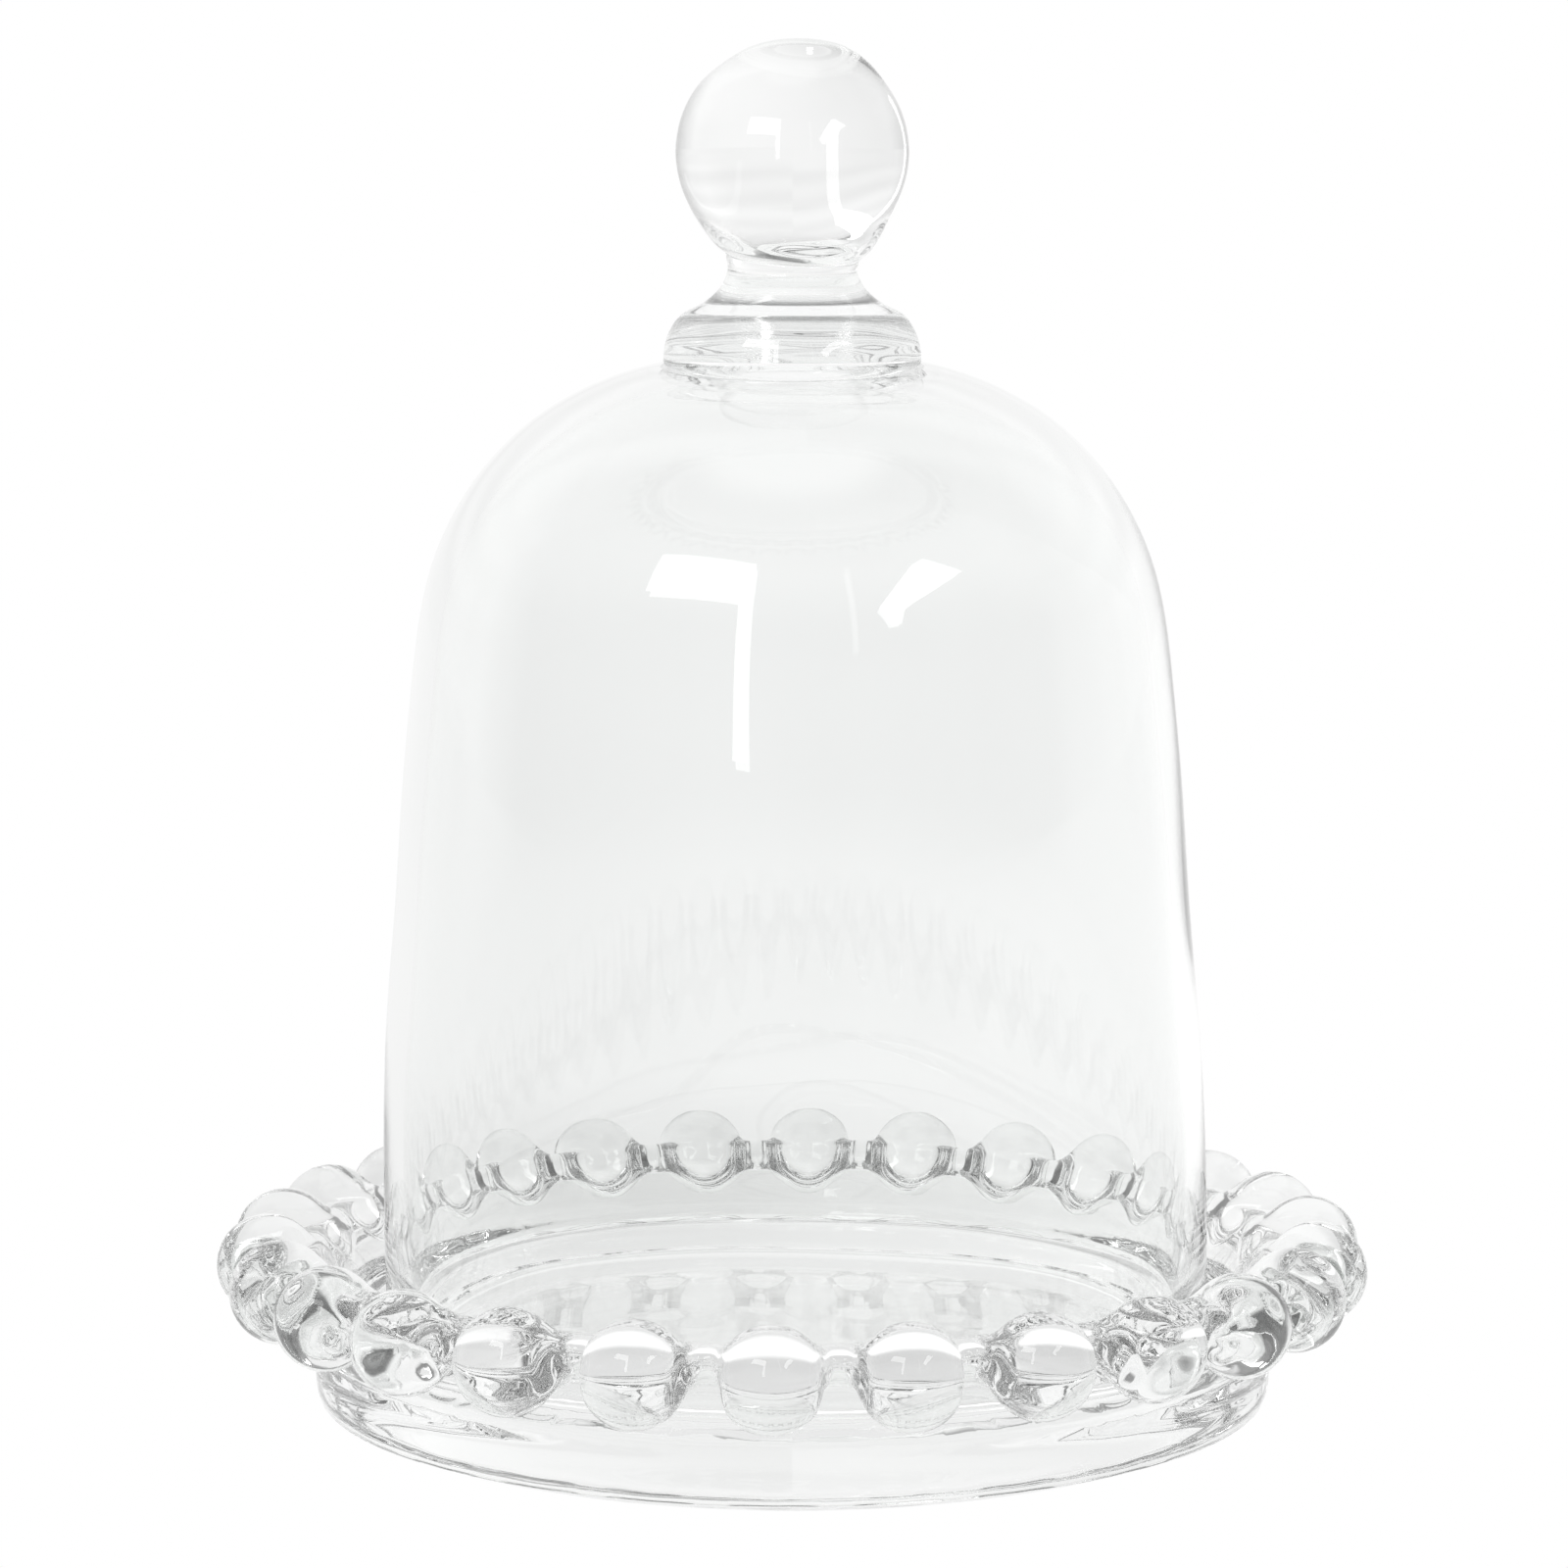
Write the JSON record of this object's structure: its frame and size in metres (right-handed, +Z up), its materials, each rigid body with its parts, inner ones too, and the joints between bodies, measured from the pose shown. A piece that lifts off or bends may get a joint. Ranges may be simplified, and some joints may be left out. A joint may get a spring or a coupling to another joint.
{
  "type": "bell jar",
  "caption": "Clear glass bell jar: a round-shouldered dome with a ball knob, standing loose on a thick pressed glass dish with a beaded rim.",
  "frame": {"origin": "centre of the flat the dish stands on", "axes": "+Z up along the common axis of the dish and the dome; -Y is the front, where one bead stands 2 degrees off the middle"},
  "size_m": [0.1396, 0.14, 0.1676],
  "materials": {
    "pressed_glass": "clear pressed glass, fire-polished, faint surface waves",
    "blown_glass": "clear thin blown glass, smooth",
    "knob_glass": "clear solid hot-worked glass, smooth"
  },
  "bodies": {
    "plate": {"base_plate": "pressed_glass"},
    "dome": {"bell_shell": "blown_glass", "knob_collar": "knob_glass", "knob_ball": "knob_glass"}
  },
  "joints": [
    {"name": "dome_lift", "type": "slide", "parent": "plate", "child": "dome", "axis": [0, 0, 1], "range_m": [0, 0.15]}
  ]
}
